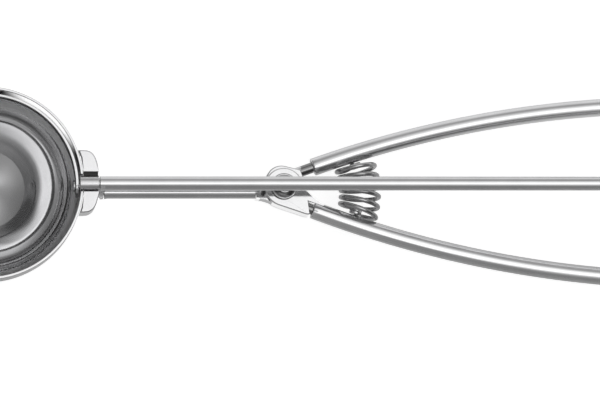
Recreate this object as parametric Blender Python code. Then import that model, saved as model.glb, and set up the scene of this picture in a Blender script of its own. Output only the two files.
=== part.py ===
"""Squeeze-handle ice cream scoop: a bowl on a fixed rod, with a scraper that two sprung handles turn.

X runs along the tool, from the bowl towards the handle ends. Z points out of the bowl's mouth.
The origin is on the handle pivot, at the outer face of the rivet's lower head.
"""

import bmesh
import bpy
import numpy as np
from math import acos, asin, atan2, cos, hypot, pi, radians, sin, sqrt
from mathutils import Matrix, Vector

MM = 0.001

# Clearances
SEAT_GAP = 0.3 * MM  # between pieces that rest on each other or are pressed together
RUNNING_GAP = 0.1 * MM  # between a pin and the hole that turns on it

# Bowl
BOWL_RADIUS = 29.5 * MM
BOWL_WALL = 0.8 * MM
BOWL_STRAIGHT = 8.2 * MM  # straight wall from the scraper's axis up to the rim
SCRAPER_Z = 10.6 * MM

# Scraper and its gear
BLADE_WALL = 0.7 * MM
BLADE_WIDTH = 7.4 * MM
SHAFT_RADIUS = 0.9 * MM
SHAFT_HEAD_RADIUS = 1.8 * MM
SHAFT_HEAD = 0.7 * MM
BUSH_WALL = 0.7 * MM
WASHER_RADIUS = 2.5 * MM
WASHER = 0.5 * MM
PINION_TEETH = 9
GEAR_MODULE = 0.5 * MM
TOOTH_ADDENDUM = 0.33 * MM
TOOTH_DEDENDUM = 0.6 * MM
TOOTH_BACKLASH = 0.17 * MM
PRESSURE_ANGLE = radians(20)
GEAR_FACE = 2.0 * MM
GEAR_CLEARANCE = 0.35 * MM  # from the gears' faces to the bowl's side
SECTOR_RADIUS = 60.75 * MM
SECTOR_TEETH = 6
SECTOR_PLATE = 2.0 * MM
SECTOR_ARM = 1.4 * MM

# Gear housing
HOUSING_HALF_WIDTH = 9.6 * MM
HOUSING_DEPTH = 4.7 * MM  # from the bowl's side to its far wall
HOUSING_SQUARENESS = 2.7  # 2 is a half ellipse, and more is squarer
HOUSING_Y = 0.5 * MM  # its middle
HOUSING_SHEET = 0.7 * MM
HOUSING_TOP_DROP = 0.2 * MM  # below the rim
HOUSING_OVER_SECTOR = 0.5 * MM  # its open bottom stands this far above the sector's teeth
CHANNEL_SHEET = 0.6 * MM
CHANNEL_GAP = 1.1 * MM  # at the ferrule's upper handle side

# Centre rod
ROD_Z = 17.0 * MM
ROD_RADIUS = 2.15 * MM
ROD_END_X = 118.0 * MM
FERRULE_RADIUS = 2.4 * MM
FERRULE_WALL = 0.5 * MM
FERRULE_INSIDE = 0.2 * MM  # how far it reaches past the bowl's inner face
ROD_CAP_WALL = 0.7 * MM
ROD_CAP_LENGTH = 5.5 * MM
ROD_CAP_GRIP = 3.0 * MM
POST_RADIUS = 1.7 * MM
POST_FOOT_RADIUS = 2.1 * MM
POST_FOOT = 0.7 * MM

# Pivot and brackets
RIVET_RADIUS = 2.0 * MM
RIVET_HEAD_RADIUS = 4.05 * MM
RIVET_HEAD = 1.0 * MM
RIVET_BEVEL = 0.45 * MM
SPACER_WALL = 0.9 * MM
EAR = 1.0 * MM
UPPER_CHANNEL = 5.4 * MM  # height of the upper bracket over both ears
LOWER_EAR_RADIUS = 5.9 * MM
UPPER_EAR_RADIUS = 4.6 * MM
UPPER_CREST_RADIUS = 4.8 * MM
UPPER_CREST_X = -0.6 * MM
UPPER_CREST_Y = 2.0 * MM
BRACKET_WEB = 0.8 * MM
BRACKET_PLUG = 2.6 * MM  # solid end that the tube's tang stands on
LOWER_TIP_RADIUS = 2.6 * MM  # half width of the solid end
UPPER_TIP_RADIUS = 1.5 * MM
LOWER_NECK = 1.9 * MM  # bare tang between the solid end and the tube
UPPER_NECK = 4.1 * MM
LOWER_SLANT = radians(28)  # of the solid end's face
UPPER_END_SHIFT = 0.9 * MM
HORN_X = 7.1 * MM  # where the lower ears' horns leave for the tube
HORN_Y = -1.3 * MM
HORN_SAG = 0.4 * MM
HORN_LAP = 2.5 * MM  # over the tube's end
HORN_HALF_WIDTH = 2.2 * MM  # of its tip, off the tube's line
LOWER_WEB_START = radians(-142)
UPPER_WEB_START = radians(150)
FOOT_ROOT = radians(-107)  # where the foot's edge leaves the lower ear
FOOT_HALF_WIDTH = 2.2 * MM

# Handles
TUBE_RADIUS = 2.75 * MM
TUBE_WALL = 0.8 * MM
HANDLE_START_X = 9.3 * MM
HANDLE_START_Y = 6.6 * MM
HANDLE_SLOPE = radians(20.2)
HANDLE_BEND = 340.0 * MM
HANDLE_LENGTH = 117.0 * MM
HANDLE_SKEW = radians(0.6)  # both handles stand this much further towards -Y
TANG_LENGTH = 5.0 * MM
CAP_STEM = 5.0 * MM
CAP_DOME = 2.0 * MM

# Rack rod
RACK_RADIUS = 2.05 * MM
RACK_WALL = 0.65 * MM
RACK_Y = -1.2 * MM
RACK_PAST_HOUSING = 2.2 * MM
RACK_END_X = -8.6 * MM
RACK_LUG = 1.0 * MM
RACK_TANG = 4.0 * MM

# Spring
SPRING_SEAT = 12.8 * MM  # along each handle from its mouth
SPRING_COIL = 5.9 * MM  # mean radius of a turn
SPRING_WIRE = 0.73 * MM
SPRING_TURNS = 6
SPRING_CLOSED = 0.25  # of a turn is closed at each end
SPRING_LEAN = 0.4 * MM  # of the coil's ends, towards the pivot and away from it
PEG_RADIUS = 1.9 * MM
PEG_LENGTH = 1.6 * MM

# Facets
BOWL_FACETS = 48
PIN_FACETS = 24
TUBE_FACETS = 16

# Worked out from the sizes above
HANDLE_Z = RIVET_HEAD + 2 * SEAT_GAP + EAR + UPPER_CHANNEL / 2
LOWER_CHANNEL = UPPER_CHANNEL + 2 * (SEAT_GAP + EAR)
RIVET_TOP = HANDLE_Z + LOWER_CHANNEL / 2 + SEAT_GAP + RIVET_HEAD
RIM_Z = SCRAPER_Z + BOWL_STRAIGHT
BOWL_SIDE_X = -SECTOR_RADIUS - GEAR_FACE / 2 - GEAR_CLEARANCE
BOWL_X = BOWL_SIDE_X - BOWL_RADIUS
BOWL_INSIDE = BOWL_RADIUS - BOWL_WALL
BLADE_RADIUS = BOWL_INSIDE - SEAT_GAP
PITCH_RADIUS = PINION_TEETH * GEAR_MODULE / 2
GEAR_PITCH = pi * GEAR_MODULE
PITCH_Z = SCRAPER_Z - PITCH_RADIUS
SECTOR_TOP = PITCH_Z - TOOTH_DEDENDUM
HOUSING_X = BOWL_SIDE_X + HOUSING_DEPTH
HOUSING_TOP = RIM_Z - HOUSING_TOP_DROP
RACK_START_X = HOUSING_X + RACK_PAST_HOUSING
CHANNEL_FLOOR = ROD_Z - FERRULE_RADIUS - SEAT_GAP
TANG_RADIUS = TUBE_RADIUS - TUBE_WALL - SEAT_GAP
RACK_TANG_RADIUS = RACK_RADIUS - RACK_WALL - SEAT_GAP

ALONG_X = Matrix.Rotation(pi / 2, 4, "Y")  # turns a shape made along +Z onto +X


def clear_scene():
    for obj in list(bpy.data.objects):
        bpy.data.objects.remove(obj, do_unlink=True)


def steel(name, colour, roughness):
    mat = bpy.data.materials.new(name)
    mat.use_nodes = True
    shader = mat.node_tree.nodes["Principled BSDF"]
    shader.inputs["Base Color"].default_value = (*colour, 1)
    shader.inputs["Roughness"].default_value = roughness
    shader.inputs["Metallic"].default_value = 1
    return mat


def add_object(name, mesh_data, mat=None, place=None):
    if place is not None:
        mesh_data.transform(place)
    obj = bpy.data.objects.new(name, mesh_data)
    bpy.context.scene.collection.objects.link(obj)
    if mat:
        mesh_data.materials.append(mat)
        mesh_data.shade_smooth()
        mesh_data.set_sharp_from_angle(angle=radians(35))
    return obj


def mesh_of(name, points, faces):
    mesh_data = bpy.data.meshes.new(name)
    mesh_data.from_pydata([tuple(p) for p in points], [], faces)
    mesh_data.validate()
    shape = bmesh.new()
    shape.from_mesh(mesh_data)
    bmesh.ops.recalc_face_normals(shape, faces=shape.faces)
    shape.to_mesh(mesh_data)
    shape.free()
    return mesh_data


def turned(name, profile, facets):
    """A profile of (radius, height) points turned round Z. It ends on the axis, or closes on itself."""
    points = []
    rings = []
    for radius, height in profile:
        if radius == 0:
            rings.append([len(points)] * facets)
            points.append((0, 0, height))
            continue
        start = len(points)
        rings.append([start + i for i in range(facets)])
        for i in range(facets):
            angle = 2 * pi * i / facets
            points.append((radius * cos(angle), radius * sin(angle), height))
    solid = profile[0][0] == 0
    pairs = list(zip(rings, rings[1:])) if solid else list(zip(rings, rings[1:] + rings[:1]))
    faces = []
    for low, high in pairs:
        for i in range(facets):
            j = (i + 1) % facets
            corners = (low[i], low[j], high[j], high[i])
            faces.append([c for n, c in enumerate(corners) if c not in corners[:n]])
    return mesh_of(name, points, faces)


def rod_shape(name, radius, start, end, facets=PIN_FACETS):
    return turned(name, [(0, start), (radius, start), (radius, end), (0, end)], facets)


def sleeve_shape(name, outer, inner, start, end, facets=PIN_FACETS):
    return turned(name, [(inner, start), (outer, start), (outer, end), (inner, end)], facets)


def prism(name, outline, low, high):
    count = len(outline)
    points = [(x, y, low) for x, y in outline] + [(x, y, high) for x, y in outline]
    sides = [[i, (i + 1) % count, count + (i + 1) % count, count + i] for i in range(count)]
    faces = sides + [list(range(count))[::-1], list(range(count, 2 * count))]
    return mesh_of(name, points, faces)


def block(name, low, high):
    outline = [(low[0], low[1]), (high[0], low[1]), (high[0], high[1]), (low[0], high[1])]
    return prism(name, outline, low[2], high[2])


def arc(centre, radius, start, end, steps):
    angles = [start + (end - start) * i / steps for i in range(steps + 1)]
    return [(centre[0] + radius * cos(a), centre[1] + radius * sin(a)) for a in angles]


def combine(obj, operation, mesh_data):
    """Adds or cuts a helper shape, which stays hidden."""
    helper = add_object(obj.name + "_" + mesh_data.name, mesh_data)
    helper.hide_render = True
    helper.display_type = "WIRE"
    helper.parent = obj
    modifier = obj.modifiers.new(mesh_data.name, "BOOLEAN")
    modifier.operation = operation
    modifier.solver = "EXACT"
    modifier.object = helper


def cut(obj, mesh_data, place=None):
    if place is not None:
        mesh_data.transform(place)
    combine(obj, "DIFFERENCE", mesh_data)


def join(obj, mesh_data, place=None):
    if place is not None:
        mesh_data.transform(place)
    combine(obj, "UNION", mesh_data)


def axis_empty(name, place):
    empty = bpy.data.objects.new(name, None)
    empty.location = place
    empty.empty_display_size = 2 * RIVET_HEAD_RADIUS
    bpy.context.scene.collection.objects.link(empty)
    return empty


def carry(empty, pieces):
    bpy.context.view_layer.update()
    for piece in pieces:
        piece.parent = empty
        piece.matrix_parent_inverse = empty.matrix_world.inverted()


def on_scraper_axis(x):
    """Puts a shape made along Z on the scraper's axis, its zero at x."""
    return Matrix.Translation((x, 0, SCRAPER_Z)) @ ALONG_X


def on_rod_axis(x):
    return Matrix.Translation((x, 0, ROD_Z)) @ ALONG_X


def on_rack_axis(x):
    return Matrix.Translation((x, RACK_Y, HANDLE_Z)) @ ALONG_X


# Bowl and the pieces fixed in its wall


def bowl(mat):
    steps = 12
    inside = [(BOWL_INSIDE * sin(a), -BOWL_INSIDE * cos(a)) for a in np.linspace(0, pi / 2, steps + 1)]
    outside = [(BOWL_RADIUS * sin(a), -BOWL_RADIUS * cos(a)) for a in np.linspace(0, pi / 2, steps + 1)]
    inside[0] = (0, -BOWL_INSIDE)
    outside[0] = (0, -BOWL_RADIUS)
    rim = [(BOWL_RADIUS, BOWL_STRAIGHT), (BOWL_INSIDE, BOWL_STRAIGHT)]
    shell = turned("bowl", outside + rim + inside[::-1], BOWL_FACETS)
    piece = add_object("bowl", shell, mat, Matrix.Translation((BOWL_X, 0, SCRAPER_Z)))
    wall = BOWL_INSIDE - 2 * BOWL_WALL
    reach = BOWL_RADIUS + 2 * BOWL_WALL
    notch = FERRULE_RADIUS + SEAT_GAP
    slot = arc((0, ROD_Z), notch, pi, 2 * pi, 12)
    slot += [(notch, RIM_Z + BOWL_WALL), (-notch, RIM_Z + BOWL_WALL)]
    # The outline is drawn with its height along X and its width along Y, then stood up.
    stand = Matrix(((0, 0, 1, BOWL_X), (1, 0, 0, 0), (0, 1, 0, 0), (0, 0, 0, 1)))
    cut(piece, prism("ferrule_notch", slot, wall, reach), stand)
    bush_hole = SHAFT_RADIUS + RUNNING_GAP + BUSH_WALL + SEAT_GAP
    cut(piece, rod_shape("bush_hole", bush_hole, wall, reach), on_scraper_axis(BOWL_X))
    pin_hole = SHAFT_RADIUS + SEAT_GAP
    cut(piece, rod_shape("pin_hole", pin_hole, -reach, -wall), on_scraper_axis(BOWL_X))
    return piece


def shaft_bushing(mat):
    bore = SHAFT_RADIUS + RUNNING_GAP
    shape = sleeve_shape("shaft_bushing", bore + BUSH_WALL, bore, BOWL_INSIDE, BOWL_RADIUS)
    return add_object("shaft_bushing", shape, mat, on_scraper_axis(BOWL_X))


def scraper_pin(mat):
    outer_head = -(BOWL_RADIUS + WASHER + 2 * SEAT_GAP)
    inner_head = -(BLADE_RADIUS - BLADE_WALL - SEAT_GAP)
    profile = [
        (0, outer_head - SHAFT_HEAD),
        (SHAFT_HEAD_RADIUS - SHAFT_HEAD / 2, outer_head - SHAFT_HEAD),
        (SHAFT_HEAD_RADIUS, outer_head - SHAFT_HEAD / 2),
        (SHAFT_HEAD_RADIUS, outer_head),
        (SHAFT_RADIUS, outer_head),
        (SHAFT_RADIUS, inner_head),
        (SHAFT_HEAD_RADIUS, inner_head),
        (SHAFT_HEAD_RADIUS, inner_head + SHAFT_HEAD / 2),
        (SHAFT_HEAD_RADIUS - SHAFT_HEAD / 2, inner_head + SHAFT_HEAD),
        (0, inner_head + SHAFT_HEAD),
    ]
    shape = turned("scraper_pin", profile, PIN_FACETS)
    return add_object("scraper_pin", shape, mat, on_scraper_axis(BOWL_X))


def pin_washer(mat):
    face = -(BOWL_RADIUS + SEAT_GAP)
    shape = sleeve_shape("pin_washer", WASHER_RADIUS, SHAFT_RADIUS + SEAT_GAP, face - WASHER, face)
    return add_object("pin_washer", shape, mat, on_scraper_axis(BOWL_X))


# Gear housing: a pressed box with a channel for the ferrule across its top


def housing_outline(inset, low_y, high_y):
    """The bulging far wall, closed behind the bowl's side. It is trimmed to a range of Y."""
    depth = HOUSING_DEPTH - inset
    width = HOUSING_HALF_WIDTH - inset
    power = HOUSING_SQUARENESS
    edge = []
    low = asin(max(-1, (low_y - HOUSING_Y) / width))
    high = asin(min(1, (high_y - HOUSING_Y) / width))
    for a in np.linspace(low, high, 21):
        bulge = max(0, 1 - abs(sin(a)) ** power) ** (1 / power)
        edge.append((BOWL_SIDE_X + depth * bulge, HOUSING_Y + width * sin(a)))
    back = BOWL_SIDE_X - HOUSING_DEPTH
    return [(back, edge[0][1])] + edge + [(back, edge[-1][1])]


def gear_housing(mat):
    bottom = PITCH_Z + TOOTH_ADDENDUM + HOUSING_OVER_SECTOR
    far_side = HOUSING_HALF_WIDTH + HOUSING_Y
    outline = housing_outline(0, -far_side, far_side)
    piece = add_object("gear_housing", prism("gear_housing", outline, bottom, HOUSING_TOP), mat)
    below = bottom - HOUSING_SHEET
    slot_high = FERRULE_RADIUS + CHANNEL_GAP
    slot_low = -FERRULE_RADIUS - SEAT_GAP
    room = housing_outline(HOUSING_SHEET, -far_side, far_side)
    cut(piece, prism("gear_room", room, below, CHANNEL_FLOOR - CHANNEL_SHEET))
    ceiling = HOUSING_TOP - HOUSING_SHEET
    room = housing_outline(HOUSING_SHEET, slot_high + CHANNEL_SHEET, far_side)
    cut(piece, prism("upper_room", room, below, ceiling))
    room = housing_outline(HOUSING_SHEET, -far_side, slot_low - CHANNEL_SHEET)
    cut(piece, prism("lower_room", room, below, ceiling))
    front = HOUSING_X + HOUSING_SHEET
    back = BOWL_SIDE_X - 2 * HOUSING_DEPTH
    above = RIM_Z + HOUSING_SHEET
    cut(piece, block("ferrule_channel", (back, slot_low, CHANNEL_FLOOR), (front, slot_high, above)))
    hole = rod_shape("shaft_hole", SHAFT_RADIUS + RUNNING_GAP, -2 * HOUSING_SHEET, HOUSING_SHEET)
    cut(piece, hole, on_scraper_axis(HOUSING_X))
    reach = BOWL_RADIUS + SEAT_GAP
    clear = rod_shape("bowl_clearance", reach, below - HOUSING_SHEET, RIM_Z + HOUSING_SHEET, BOWL_FACETS)
    cut(piece, clear, Matrix.Translation((BOWL_X, 0, 0)))
    return piece


# Centre rod


def rod_ferrule(mat):
    inner_end = BOWL_X + BOWL_INSIDE - FERRULE_INSIDE
    shape = sleeve_shape("rod_ferrule", FERRULE_RADIUS, FERRULE_RADIUS - FERRULE_WALL, inner_end, HOUSING_X)
    return add_object("rod_ferrule", shape, mat, on_rod_axis(0))


def centre_rod(mat):
    shoulder = HOUSING_X + SEAT_GAP
    spigot = FERRULE_RADIUS - FERRULE_WALL - SEAT_GAP
    spigot_end = BOWL_X + BOWL_INSIDE
    profile = [
        (0, spigot_end),
        (spigot, spigot_end),
        (spigot, shoulder),
        (ROD_RADIUS, shoulder),
        (ROD_RADIUS, ROD_END_X),
        (0, ROD_END_X),
    ]
    return add_object("centre_rod", turned("centre_rod", profile, PIN_FACETS), mat, on_rod_axis(0))


def rod_end_cap(mat):
    bore = ROD_RADIUS + SEAT_GAP
    outer = bore + ROD_CAP_WALL
    mouth = ROD_END_X + SEAT_GAP - ROD_CAP_GRIP
    dome_start = mouth + ROD_CAP_LENGTH - outer
    dome = arc((0, dome_start), outer, 0, pi / 2, 6)[:-1]
    profile = [(0, ROD_END_X + SEAT_GAP), (bore, ROD_END_X + SEAT_GAP), (bore, mouth), (outer, mouth)]
    profile += dome + [(0, dome_start + outer)]
    return add_object("rod_end_cap", turned("rod_end_cap", profile, PIN_FACETS), mat, on_rod_axis(0))


def rod_post(mat):
    low = RIVET_TOP + SEAT_GAP
    high = ROD_Z - ROD_RADIUS - SEAT_GAP
    profile = [
        (0, low),
        (POST_FOOT_RADIUS, low),
        (POST_FOOT_RADIUS, low + POST_FOOT),
        (POST_RADIUS, low + POST_FOOT),
        (POST_RADIUS, high),
        (0, high),
    ]
    return add_object("rod_post", turned("rod_post", profile, PIN_FACETS), mat)


# Pivot


def pivot_rivet(mat):
    low = RIVET_HEAD
    high = RIVET_TOP - RIVET_HEAD
    face = RIVET_HEAD_RADIUS - RIVET_BEVEL
    profile = [
        (0, 0),
        (face, 0),
        (RIVET_HEAD_RADIUS, RIVET_BEVEL),
        (RIVET_HEAD_RADIUS, low),
        (RIVET_RADIUS, low),
        (RIVET_RADIUS, high),
        (RIVET_HEAD_RADIUS, high),
        (RIVET_HEAD_RADIUS, RIVET_TOP - RIVET_BEVEL),
        (face, RIVET_TOP),
        (0, RIVET_TOP),
    ]
    return add_object("pivot_rivet", turned("pivot_rivet", profile, PIN_FACETS), mat)


def pivot_spacer(mat):
    bore = RIVET_RADIUS + SEAT_GAP
    half = UPPER_CHANNEL / 2 - EAR - SEAT_GAP
    shape = sleeve_shape("pivot_spacer", bore + SPACER_WALL, bore, HANDLE_Z - half, HANDLE_Z + half)
    return add_object("pivot_spacer", shape, mat)


# Handles. Each is worked out for the +Y side, and the lower one is its mirror image


def turn_about_pivot(point, angle):
    return (
        point[0] * cos(angle) - point[1] * sin(angle),
        point[0] * sin(angle) + point[1] * cos(angle),
    )


def handle_point(side, along, off=0.0):
    """A point on a handle's centre line, this far along it and this far off it towards the rod."""
    slope = HANDLE_SLOPE - along / HANDLE_BEND
    x = HANDLE_START_X + HANDLE_BEND * (sin(HANDLE_SLOPE) - sin(slope))
    y = HANDLE_START_Y + HANDLE_BEND * (cos(slope) - cos(HANDLE_SLOPE))
    x += off * sin(slope)
    y -= off * cos(slope)
    return turn_about_pivot((x, side * y), -HANDLE_SKEW)


def handle_slope(side, along):
    return side * (HANDLE_SLOPE - along / HANDLE_BEND) - HANDLE_SKEW


def handle_frame(side, along):
    """Places a shape made along Z at this point of a handle, pointing along it."""
    x, y = handle_point(side, along)
    turn = Matrix.Rotation(handle_slope(side, along), 4, "Z")
    return Matrix.Translation((x, y, HANDLE_Z)) @ turn @ ALONG_X


def handle_tube(name, side, mat):
    steps = 20
    radii = (TUBE_RADIUS, TUBE_RADIUS - TUBE_WALL)
    points = []
    for step in range(steps + 1):
        place = handle_frame(side, HANDLE_LENGTH * step / steps)
        for radius in radii:
            for i in range(TUBE_FACETS):
                angle = 2 * pi * (i + 0.5) / TUBE_FACETS
                points.append(place @ Vector((radius * cos(angle), radius * sin(angle), 0)))
    ring = 2 * TUBE_FACETS
    faces = []
    for step in range(steps):
        for wall in (0, TUBE_FACETS):
            for i in range(TUBE_FACETS):
                a = step * ring + wall + i
                b = step * ring + wall + (i + 1) % TUBE_FACETS
                faces.append([a, b, b + ring, a + ring])
    for start in (0, steps * ring):
        for i in range(TUBE_FACETS):
            a = start + i
            b = start + (i + 1) % TUBE_FACETS
            faces.append([a, b, b + TUBE_FACETS, a + TUBE_FACETS])
    return add_object(name, mesh_of(name, points, faces), mat)


def end_cap(name, side, mat):
    stem = TUBE_RADIUS - TUBE_WALL - SEAT_GAP
    profile = [(0, -CAP_STEM), (stem, -CAP_STEM), (stem, SEAT_GAP), (TUBE_RADIUS, SEAT_GAP)]
    for a in np.linspace(0.15, 1, 5)[:-1] * pi / 2:
        profile.append((TUBE_RADIUS * cos(a), SEAT_GAP + CAP_DOME * sin(a)))
    profile.append((0, SEAT_GAP + CAP_DOME))
    return add_object(name, turned(name, profile, TUBE_FACETS), mat, handle_frame(side, HANDLE_LENGTH))


def spring_peg(name, side, mat):
    """A stud that stands on the handle's inner side and holds the spring's end."""
    x, y = handle_point(side, SPRING_SEAT)
    slope = handle_slope(side, SPRING_SEAT)
    inward = Matrix.Rotation(slope - side * pi / 2, 4, "Z") @ ALONG_X
    start = TUBE_RADIUS + SEAT_GAP
    shape = rod_shape(name, PEG_RADIUS, start, start + PEG_LENGTH, TUBE_FACETS)
    return add_object(name, shape, mat, Matrix.Translation((x, y, HANDLE_Z)) @ inward)


# Brackets: folded channels whose ears turn on the rivet and whose solid ends hold the tubes


def teardrop(hub, mouth, tip, centre=(0, 0), steps=10):
    """The outline round a hub and the smaller circle of the solid end, counter-clockwise."""
    dx = mouth[0] - centre[0]
    dy = mouth[1] - centre[1]
    heading = atan2(dy, dx)
    lean = acos((hub - tip) / hypot(dx, dy))
    outline = arc(centre, hub, heading + lean, heading + 2 * pi - lean, 2 * steps)
    return outline + arc(mouth, tip, heading - lean, heading + lean, steps)


def ear_room(side, hub, mouth, tip, centre, web_start):
    """The room between a bracket's ears. Its web runs from an angle round the hub to the solid end."""
    dx = mouth[0] - centre[0]
    dy = mouth[1] - centre[1]
    heading = atan2(dy, dx)
    lean = acos((hub - tip) / hypot(dx, dy))
    tangent = heading + side * lean
    room = arc(centre, hub - BRACKET_WEB, web_start, tangent, 10)
    inner = tip - BRACKET_WEB
    near = room[-1]
    far = (mouth[0] + inner * cos(tangent), mouth[1] + inner * sin(tangent))
    share = 1 - BRACKET_PLUG / hypot(dx, dy)
    last = (near[0] + share * (far[0] - near[0]), near[1] + share * (far[1] - near[1]))
    wide = 4 * hub
    along = (wide * cos(heading), wide * sin(heading))
    across = (side * along[1], -side * along[0])
    corner = (last[0] + across[0], last[1] + across[1])
    first = (room[0][0] - along[0], room[0][1] - along[1])
    return room + [last, corner, (corner[0] - along[0], corner[1] - along[1]), first]


def bracket(name, side, hub, height, end, crest, web_start, mat):
    """The end is the solid end's half width, the bare tang between it and the tube, its slant and
    how far it lies off the tube's line towards the rod.

    A crest is the (radius, centre) of a second circle that the ears also cover.
    """
    tip, neck, slant, shift = end
    low = HANDLE_Z - height / 2
    high = HANDLE_Z + height / 2
    mouth = handle_point(side, -neck - tip / 2 + tip * sin(slant), shift)
    piece = add_object(name, prism(name, teardrop(hub, mouth, tip), low, high), mat)
    web_hub, web_centre = crest or (hub, (0, 0))
    if crest:
        join(piece, prism("crest", teardrop(web_hub, mouth, tip, web_centre), low, high))
    room = ear_room(side, web_hub, mouth, tip, web_centre, web_start)
    cut(piece, prism("room", room, low + EAR, high - EAR))
    cut(piece, rod_shape("rivet_hole", RIVET_RADIUS + RUNNING_GAP, low - EAR, high + EAR))
    square = block("mouth_cut", (0, -2 * hub, low - EAR), (2 * hub, 2 * hub, high + EAR))
    slope = Matrix.Rotation(handle_slope(side, 0) - side * slant, 4, "Z")
    x, y = handle_point(side, -neck)
    cut(piece, square, Matrix.Translation((x, y, 0)) @ slope)
    tang = rod_shape("tang", TANG_RADIUS, -neck - BRACKET_PLUG / 2, TANG_LENGTH, TUBE_FACETS)
    join(piece, tang, handle_frame(side, 0))
    return piece


def horn_outline():
    """The hollow edge from the lower ears to a tip over the tube's end, closed inside the ears."""
    corner = handle_point(-1, HORN_LAP, HORN_HALF_WIDTH)
    dx = corner[0] - HORN_X
    dy = corner[1] - HORN_Y
    edge = []
    for t in np.linspace(0, 1, 7):
        sag = 4 * HORN_SAG * t * (1 - t) / hypot(dx, dy)
        edge.append((HORN_X + t * dx + sag * dy, HORN_Y + t * dy - sag * dx))
    inside = LOWER_EAR_RADIUS - EAR
    heel = handle_point(-1, -LOWER_NECK - EAR, LOWER_TIP_RADIUS - EAR)
    inner = handle_point(-1, HORN_LAP, HORN_HALF_WIDTH - EAR / 2)
    return [(inside, 0), heel, inner] + edge[::-1]


def lower_bracket(mat):
    """The lower bracket also has horns towards its tube, and a foot that reaches out to the rack rod."""
    end = (LOWER_TIP_RADIUS, LOWER_NECK, LOWER_SLANT, 0)
    piece = bracket("lower_bracket", -1, LOWER_EAR_RADIUS, LOWER_CHANNEL, end, None, LOWER_WEB_START, mat)
    end_x = RACK_END_X + SEAT_GAP
    end_y = RACK_Y - FOOT_HALF_WIDTH
    hub_x = LOWER_EAR_RADIUS * cos(FOOT_ROOT)
    hub_y = LOWER_EAR_RADIUS * sin(FOOT_ROOT)
    edge = [(end_x + t * (hub_x - end_x), end_y + t * t * (hub_y - end_y)) for t in np.linspace(0, 1, 8)]
    low = HANDLE_Z - LOWER_CHANNEL / 2
    high = HANDLE_Z + FOOT_HALF_WIDTH
    top = HANDLE_Z + LOWER_CHANNEL / 2
    join(piece, prism("low_horn", horn_outline(), low, low + EAR))
    join(piece, prism("high_horn", horn_outline(), top - EAR, top))
    inside = RIVET_RADIUS + SPACER_WALL
    far_y = RACK_Y + FOOT_HALF_WIDTH
    plate = edge + [(-inside, -inside), (-inside, far_y), (end_x, far_y)]
    join(piece, prism("foot_plate", plate, low, low + EAR))
    web = edge + [(x, y + BRACKET_WEB) for x, y in reversed(edge)]
    join(piece, prism("foot_web", web, low, high))
    lug = end_x + RACK_LUG
    join(piece, block("foot_lug", (end_x, end_y, low), (lug, far_y, high)))
    tang = rod_shape("foot_tang", RACK_TANG_RADIUS, end_x - RACK_TANG, end_x + RACK_LUG / 2, TUBE_FACETS)
    join(piece, tang, on_rack_axis(0))
    return piece


def upper_bracket(mat):
    crest = (UPPER_CREST_RADIUS, (UPPER_CREST_X, UPPER_CREST_Y))
    end = (UPPER_TIP_RADIUS, UPPER_NECK, 0, UPPER_END_SHIFT)
    return bracket("upper_bracket", 1, UPPER_EAR_RADIUS, UPPER_CHANNEL, end, crest, UPPER_WEB_START, mat)


# Rack rod and the toothed sector that turns the pinion


def rack_rod(mat):
    shape = sleeve_shape("rack_rod", RACK_RADIUS, RACK_RADIUS - RACK_WALL, RACK_START_X, RACK_END_X)
    return add_object("rack_rod", shape, mat, on_rack_axis(0))


def sector_profile():
    """Distance along the pitch arc and height of each corner of the teeth, from their first root."""
    half = (GEAR_PITCH - TOOTH_BACKLASH) / 4
    root = half + TOOTH_DEDENDUM * sin(PRESSURE_ANGLE) / cos(PRESSURE_ANGLE)
    tip = half - TOOTH_ADDENDUM * sin(PRESSURE_ANGLE) / cos(PRESSURE_ANGLE)
    corners = []
    for tooth in range(SECTOR_TEETH):
        middle = (tooth - 0.5) * GEAR_PITCH
        corners.append((middle - root, SECTOR_TOP))
        corners.append((middle - tip, PITCH_Z + TOOTH_ADDENDUM))
        corners.append((middle + tip, PITCH_Z + TOOTH_ADDENDUM))
        corners.append((middle + root, SECTOR_TOP))
    return corners


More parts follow.
